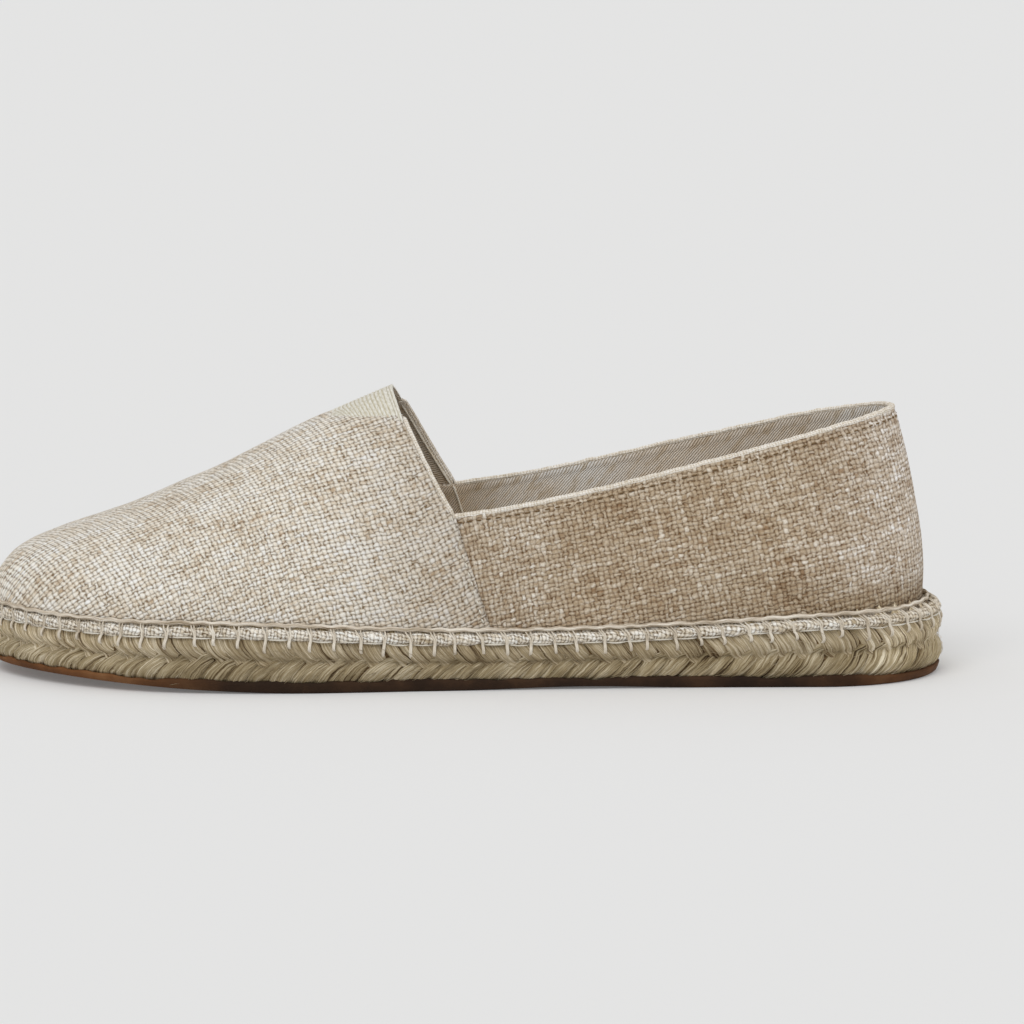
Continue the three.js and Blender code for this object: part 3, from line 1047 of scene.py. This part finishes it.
vamp = cloth_sheet(
    "linen_vamp", VAMP_COLUMNS, VAMP_ROWS, vamp_place, vamp_cloth, [vamp_linen, twill_lining],
    VAMP_WALL, (60.0, 0.0, 25.0))
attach(vamp, "root")
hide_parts("upper")

# ---------------------------------------- elastic gore
# A wedge of ivory ribbed elastic at the top of the throat, sewn in under the notch's edges. Its
# ribs run across the shoe, and its free edge is a flat selvedge with two rows of stitches.
GORE_TUCK, GORE_WALL = 2.0, 0.9
RIB, SELVEDGE = 1.15, 2.0
SELVEDGE_STITCHES = (0.75, 1.55)  # how far in the two rows are from the free edge


def crown_point(x, y, depth):
    """The point of the upper's face at x and y, near the ridge."""
    power = 2 / full(x)
    low = feather(x)
    wide = half_width(x, LEDGE_SIDE + depth, LEDGE_HEEL + depth, LEDGE_TOE + depth)
    share = min(1.0, abs(y - shift(x)) / wide) ** (1 / power)
    return Vector((x, y, low + (ridge(x) - depth - low) * (1 - share * share) ** (power / 2)))


def throat_x_at(y):
    """x of the throat's edge at y, near the ridge."""
    x = PEAK[0]
    for _ in range(8):
        x = between(throat, crown_point(x, y, 0.0).z)
    return x


def gore_lay(u, v):
    """x and y of a point of the elastic, and how far it is in from the free edge."""
    across = 2 * v - 1
    wide_back = gore_reach(throat_x_at(gore_middle)) + GORE_TUCK
    y = gore_middle + across * wide_back
    back = throat_x_at(y)
    x = back + (GORE_FRONT + GORE_TUCK - back) * u
    return x, gore_middle + across * (gore_reach(x) + GORE_TUCK), x - back


def gore_place(u, v):
    x, y, run = gore_lay(u, v)
    ribbed = clamp((run - SELVEDGE) / 0.5)
    rib = 0.13 * ribbed * cos(tau * run / RIB)
    stitch = 0.10 * sum(exp(-(((run - at) / 0.22) ** 2)) for at in SELVEDGE_STITCHES)
    return crown_point(x, y, 0.22 - rib + stitch)


def gore_cloth(u, v):
    _, y, run = gore_lay(u, v)
    return run, y


elastic, shader = new_finish("ribbed_elastic")
flat = cloth_map(shader)
run = node("SeparateXYZ", {0: flat}, "X")
mixed = cloudy(mapped(flat, (2.4, 0.7, 1.0)), 1.0, 3.0)
colour = ramp(mixed, [
    (0.32, 204, 198, 180), (0.50, 225, 221, 208), (0.66, 240, 238, 230)])
crest = calc("COSINE", run * (tau / RIB)) * 0.5 + 0.5
# Painted shade between the ribs.
ribs = ramp(crest, [(0.0, 226, 220, 203), (0.6, *WHITE)])
colour = blended("MULTIPLY", calc("GREATER_THAN", run, SELVEDGE), colour, ribs)
sewn = tone(206, 200, 184)
rows = ramp(run * 0.25, [
    (0.13, *WHITE), (0.19, *sewn), (0.25, *WHITE), (0.33, *WHITE), (0.39, *sewn), (0.45, *WHITE)])
coated(shader, blended("MULTIPLY", 1.0, colour, rows), mixed, 0.00015, 0.6, sheen=0.1)

gore = cloth_sheet(
    "gore_elastic", 110, 44, gore_place, gore_cloth, [elastic, twill_lining], GORE_WALL,
    (20.0, 0.0, 30.0))
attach(gore, "root")
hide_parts("elastic_gore")

# ---------------------------------------- turned edges and seams
# The topline and the throat are finished with a narrow fold of the linen itself. The vamp's lap is
# held down on the quarter by small white stitches, and a row of holes runs below the topline.
# The folds' linen is paler than the walls', partly the fold's own colour and partly painted light on
# edges that lie in shade.
rim_linen_painted_lit = cloth_finish(
    "linen_rim",
    (0.9, 0.8),
    [(0.30, 220, 209, 190), (0.48, 243, 236, 224), (0.66, 254, 251, 246)],
    tone(212, 200, 180),
    depth=0.0002,
)
white_thread = fibrous(
    "white_thread", [(0.32, 214, 206, 190), (0.48, 232, 226, 212), (0.64, 246, 242, 232)],
    (190, 176, 152))
# Near white: a painted highlight on the lining's and facing's edges, which lie in shade.
lining_edge_highlight_thread = fibrous(
    "lining_edge", [(0.32, 248, 238, 220), (0.48, 254, 247, 232), (0.64, 255, 252, 242)],
    (242, 230, 210))
# The tan of the stitches below the topline is partly the thread's colour and partly painted shade in
# their holes.
tan_thread = fibrous(
    "tan_thread", [(0.32, 96, 74, 50), (0.48, 122, 98, 68), (0.64, 150, 126, 94)],
    (140, 116, 84))

bm = bmesh.new()
path = []
for column in range(2 * QUARTER_HALF + 1):
    step, side = quarter_step(column / (2 * QUARTER_HALF))
    inner = folded_skin(quarter_angle(step), top_turns[step], side, WALL / 2)
    if inner.x < CORNER[0] + 1.5:
        lumps = 0.26 * noise.noise(inner / 2.2)
        path.append(inner + Vector((0.0, 0.0, -0.10 + lumps)))


def fold_radius(u):
    return 1.0 + 0.16 * noise.noise(Vector((u * 260, 0.0, 3.0)))


add_cord(bm, path, fold_radius, sides=10, wide=0.82)
collar_fold = new_object("topline_fold", bm, [rim_linen_painted_lit])
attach(collar_fold, "root")

# How deep the fold, the facing and the facing's edge lie, how far ahead, and how rough they are.
THROAT_LINES = ((0.15, 0.0, 0.16), (1.35, 0.40, 0.0), (1.75, 1.00, 0.0))
bm, edge_bm = bmesh.new(), bmesh.new()
for first, last in ((0, VAMP_COLUMNS // 2), (VAMP_COLUMNS // 2, VAMP_COLUMNS)):
    paths = [[], [], []]
    for column in range(first, last + 1):
        edge = vamp_edges[column], *vamp_turns[column]
        point = skin(*edge)
        beside_gore = abs(point.y - gore_middle) > gore_reach(point.x) + 0.4
        if point.z > CORNER[1] - 0.5 and beside_gore:
            for path, (depth, ahead, rough) in zip(paths, THROAT_LINES):
                inner = folded_skin(*edge, depth)
                ahead += rough * noise.noise(inner / 1.6)
                path.append(inner + Vector((ahead, 0.0, 0.0)))
    fold, facing, facing_edge = paths
    add_cord(bm, fold, pointed(0.74, 24.0), sides=10, wide=0.85)
    add_cord(bm, facing, pointed(0.30, 24.0), sides=8, wide=1.5)
    add_cord(edge_bm, facing_edge, pointed(0.32, 24.0), sides=6)
throat_fold = new_object("throat_fold", bm, [rim_linen_painted_lit])
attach(throat_fold, "root")


def lap_point(z, behind, side, depth):
    """A point of the upper beside the vamp's rear edge, at height z and behind by a little."""
    x = seam_x(z) + behind
    turn = asin(clamp((z - feather(x)) / (ridge(x) - feather(x))) ** (full(x) / 2))
    return folded_skin(angle_at(x), turn, side, depth)


# Inside, the edge of the vamp's lining shows as a thin pale line, as does that of the facing.
# The pale is a painted highlight, since these edges lie in shade.
for side in (1, -1):
    path = [lap_point(24.0 + 27.6 * part / 20, 0.6, side, 2.7) for part in range(21)]
    add_cord(edge_bm, path, pointed(0.34, 24.0), sides=6)
lining_edge = new_object("lining_edge", edge_bm, [lining_edge_highlight_thread])
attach(lining_edge, "root")

LAP_FOOT, LAP_STITCH = 19.5, 1.5
dice = random.Random(21)
bm = bmesh.new()
for side in (1, -1):
    rise = LAP_FOOT
    while rise < CORNER[1] - 1.0:
        path = []
        for part in range(5):
            t = part / 4
            proud = -0.42 - 0.30 * sin(pi * t)
            path.append(lap_point(rise + LAP_STITCH * t, 1.15 + 0.25 * t, side, proud))
        add_cord(bm, path, pointed(dice.uniform(0.26, 0.32), 5.0), sides=6)
        rise += dice.uniform(2.5, 2.9)
lap_stitches = new_object("lap_stitches", bm, [white_thread])
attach(lap_stitches, "root")

STITCH_DROP = 2.0 / 62.0  # below the topline, as a turn round the wall
HOLE_PITCH, HOLE_LENGTH = 3.1, 1.9
turns_along = list(zip(quarter_lengths, top_turns))
angles_along = [(length, quarter_angle(step)) for step, length in enumerate(quarter_lengths)]
bm = bmesh.new()
for side in (1, -1):
    length = 3.0
    while length < quarter_lengths[-1] - 7.0:
        path = []
        for part in range(5):
            at = length + HOLE_LENGTH * part / 4
            turn = between(turns_along, at) - STITCH_DROP
            proud = 0.12 - 0.30 * sin(pi * part / 4)
            path.append(folded_skin(between(angles_along, at), turn, side, proud))
        add_cord(bm, path, pointed(0.27, 5.0), sides=5)
        length += HOLE_PITCH
topline_stitches = new_object("topline_stitches", bm, [tan_thread])
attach(topline_stitches, "root")

# ---------------------------------------- hem and blanket stitch
# The linen's raw foot is turned out over the jute's top edge as a narrow flecked hem. A pale waxed
# cord runs round its top, and at every stitch a doubled leg comes down over it into the jute.
STITCHES = 92
STITCH = GIRTH / STITCHES
HEM_COLUMNS = STITCHES * 12
HEM_WALL = 0.5
HEEL_ROLL = 0.55  # how much thicker the hem is rolled at the back of the heel
# Height over the feather line, and place between the sole's edge at 0 and the wall's foot at 1,
# from inside over and down.
HEM_SHAPE = ((0.5, 1.12), (0.0, 0.90), (-1.40, 0.66), (-1.30, 0.50), (-0.35, 0.34), (-0.75, 0.17))
HEM_SHAPE += ((-1.6, 0.05), (-2.5, 0.03), (-3.2, 0.13), (-3.8, 0.33), (-4.1, 0.60), (-4.1, 0.95))

dice = random.Random(31)
stitch_marks = [(i + dice.uniform(-0.12, 0.12)) * STITCH for i in range(STITCHES)]
stitch_leans = [dice.uniform(-0.7, 0.7) for _ in range(STITCHES)]
puffs = [dice.uniform(0.75, 1.2) for _ in range(STITCHES)]


def stitch_mark(number):
    """How far round the sole a stitch is, counted on past both ends of the round."""
    return stitch_marks[number % STITCHES] + GIRTH * (number // STITCHES)


def from_stitch(along):
    """How far along is between two stitches, 0 to 1, and how full the puff there is."""
    along = along % GIRTH
    near = int(along // STITCH)
    for k in (near - 1, near, near + 1):
        start, end = stitch_mark(k), stitch_mark(k + 1)
        if start <= along < end:
            return (along - start) / (end - start), puffs[k % STITCHES]
    return 0.0, 1.0


def hem_point(along, drop, share, proud=0.0):
    """A point of the hem, share of the way in to the wall's foot and standing proud of that."""
    angle = rim_angle(along)
    x, y = rim_at(angle, -proud)
    from_heel = min(angle, tau - angle)
    foot = skin(from_heel, 0.0, side_of(angle))
    roll = HEEL_ROLL * exp(-((from_heel / 0.33) ** 2))
    rounder = roll * sin(pi * clamp(share))
    x, y = mix(x, foot.x, share), mix(y, foot.y, share)
    return Vector((x, y, feather(x) + drop + rounder))


def hem_place(u, v):
    along = u * GIRTH
    drop, inward = row_at(HEM_SHAPE, v)
    share, puff = from_stitch(along)
    bulge = sin(pi * share) ** 0.6 * puff
    front = clamp(1 - abs(drop + 2.0) / 2.6)
    crumple = 0.30 * noise.noise(Vector((along / 1.3, drop, 5.0)))
    proud = front * (1.3 * bulge - 1.0 + crumple)
    if drop < 0.3:
        drop += clamp((drop + 2.4) / 1.6) * (0.75 * bulge - 0.75)
    drop -= clamp(-2.6 - drop) * (0.55 * bulge - 0.35 + 0.4 * crumple)
    return hem_point(along, drop, inward, proud)


hem_linen = cloth_finish(
    "linen_hem",
    (1.12, 1.02),
    [(0.34, 190, 172, 142), (0.44, 230, 219, 199), (0.52, 248, 241, 228), (0.62, 255, 254, 248)],
    tone(128, 108, 80),
    turn=radians(9),
    wander=2.4,
    depth=0.00045,
    soil=[([("X", -112.0, -134.0)], (0.90, 0.86, 0.80))],
)
hem = cloth_sheet(
    "linen_hem", HEM_COLUMNS, len(HEM_SHAPE) - 1, hem_place, lambda u, v: (u * GIRTH, v * 7.5),
    [hem_linen], HEM_WALL, (0.0, 0.0, 15.0))
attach(hem, "root")

cord_thread = fibrous(
    "waxed_cord", [(0.40, 172, 155, 130), (0.50, 222, 209, 190), (0.60, 252, 245, 232)],
    (172, 152, 126))
leg_thread = fibrous(
    "leg_thread", [(0.40, 184, 168, 144), (0.50, 229, 218, 200), (0.60, 253, 247, 234)],
    (176, 156, 130))

bm = bmesh.new()
path = []
for column in range(STITCHES * 8 + 1):
    along = column / (STITCHES * 8) * GIRTH
    share, _ = from_stitch(along)
    pulled = cos(tau * share)
    path.append(hem_point(along, 0.40 - 0.16 * pulled, 0.72 - 0.03 * pulled))
add_cord(bm, path, lambda u: 0.56, sides=8, closed=True, wide=1.15)
top_cord = new_object("stitch_cord", bm, [cord_thread])
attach(top_cord, "root")

# Height over the feather line, share of the way in to the wall, and how far it stands proud.
LEG = ((0.35, 0.66, 0.0), (-0.40, 0.42, 0.0), (-1.15, 0.18, -0.1), (-1.9, 0.0, -0.58),
       (-2.8, 0.0, -0.52), (-3.7, 0.0, -0.50), (-4.4, 0.0, -0.10), (-5.2, 0.0, 0.22),
       (-6.1, 0.0, 0.22), (-6.7, 0.0, -0.3), (-7.0, 0.0, -1.6))
bm = bmesh.new()
dice = random.Random(33)
for mark, lean in zip(stitch_marks, stitch_leans):
    reach = dice.uniform(0.85, 1.1)
    split = dice.uniform(0.25, 0.75)
    for ply in (-1, 1):
        path = []
        for i, (drop, inward, proud) in enumerate(LEG):
            t = i / (len(LEG) - 1)
            apart = ply * (0.17 + split * max(0.0, 1 - 2.4 * t))
            drift = lean * (t - 0.3) * 1.6 + apart
            drop *= reach if drop < -4 else 1.0
            path.append(hem_point(mark + drift, drop, inward, proud))
        add_cord(bm, path, pointed(dice.uniform(0.26, 0.36), 7.0), sides=6)
legs = new_object("stitch_legs", bm, [leg_thread])
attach(legs, "root")

# A single thread lies along the hem's lower edge, from stitch to stitch.
bm = bmesh.new()
dice = random.Random(35)
for mark in stitch_marks:
    if dice.random() < 0.2:
        continue
    sag = dice.uniform(-0.2, 0.4)
    path = []
    for part in range(7):
        t = part / 6
        bow = sin(pi * t)
        path.append(hem_point(mark + STITCH * t, -3.55 - sag * bow, 0.0, -0.65 + 0.5 * bow))
    add_cord(bm, path, pointed(dice.uniform(0.16, 0.26), 4.0), sides=5)
hem_thread = new_object("hem_thread", bm, [white_thread])
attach(hem_thread, "root")
